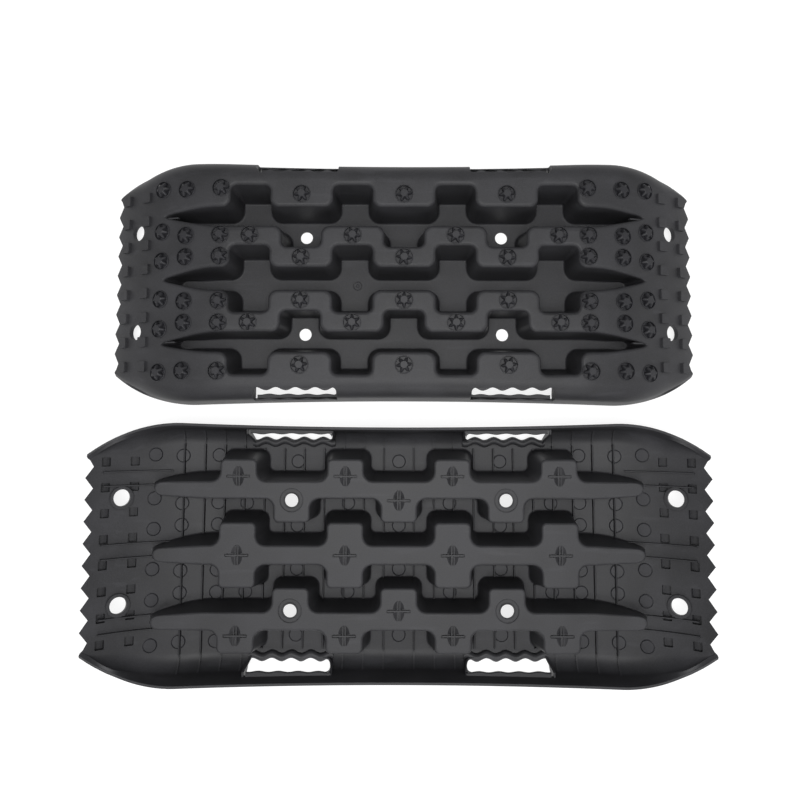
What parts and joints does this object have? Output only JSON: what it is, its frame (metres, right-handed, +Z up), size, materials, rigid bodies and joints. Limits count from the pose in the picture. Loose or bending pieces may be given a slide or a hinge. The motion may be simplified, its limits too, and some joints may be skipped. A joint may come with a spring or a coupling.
{
  "type": "vehicle recovery traction boards",
  "caption": "Pair of rigid moulded traction boards with studs, deep interlocking channels, toothed ends and hand slots; one lies studs up, the other underside up.",
  "frame": {"origin": "on the ground, at the middle of the pair of boards", "axes": "+X along both boards, +Y from the upside-down board towards the studs-up board, +Z up"},
  "size_m": [0.6378, 0.5418, 0.061],
  "materials": {
    "board_plastic": "moulded, satin black",
    "stud_plastic": "moulded, satin black"
  },
  "bodies": {
    "mat_studs_up": {"board_studs_up": "board_plastic", "stud_01": "stud_plastic", "stud_02": "stud_plastic", "stud_03": "stud_plastic", "stud_04": "stud_plastic", "stud_05": "stud_plastic", "stud_06": "stud_plastic", "stud_07": "stud_plastic", "stud_08": "stud_plastic", "stud_09": "stud_plastic", "stud_10": "stud_plastic", "stud_11": "stud_plastic", "stud_12": "stud_plastic", "stud_13": "stud_plastic", "stud_14": "stud_plastic", "stud_15": "stud_plastic", "stud_16": "stud_plastic", "stud_17": "stud_plastic", "stud_18": "stud_plastic", "stud_19": "stud_plastic", "stud_20": "stud_plastic", "stud_21": "stud_plastic", "stud_22": "stud_plastic", "stud_23": "stud_plastic", "stud_24": "stud_plastic", "stud_25": "stud_plastic", "stud_26": "stud_plastic", "stud_27": "stud_plastic", "stud_28": "stud_plastic", "stud_29": "stud_plastic", "stud_30": "stud_plastic", "stud_31": "stud_plastic", "stud_32": "stud_plastic", "stud_33": "stud_plastic", "stud_34": "stud_plastic", "stud_35": "stud_plastic", "stud_36": "stud_plastic", "stud_37": "stud_plastic", "stud_38": "stud_plastic", "stud_39": "stud_plastic", "stud_40": "stud_plastic", "stud_41": "stud_plastic", "stud_42": "stud_plastic", "stud_43": "stud_plastic", "stud_44": "stud_plastic", "stud_45": "stud_plastic", "stud_46": "stud_plastic", "stud_47": "stud_plastic", "stud_48": "stud_plastic", "stud_49": "stud_plastic", "stud_50": "stud_plastic", "stud_51": "stud_plastic", "stud_52": "stud_plastic", "stud_53": "stud_plastic", "stud_54": "stud_plastic", "stud_55": "stud_plastic", "stud_56": "stud_plastic"},
    "mat_underside_up": {"board_underside_up": "board_plastic"}
  },
  "joints": [
    {"name": "lift_underside_up", "type": "slide", "parent": "mat_studs_up", "child": "mat_underside_up", "axis": [0, 0, 1], "range_m": [0, 0.2]}
  ]
}
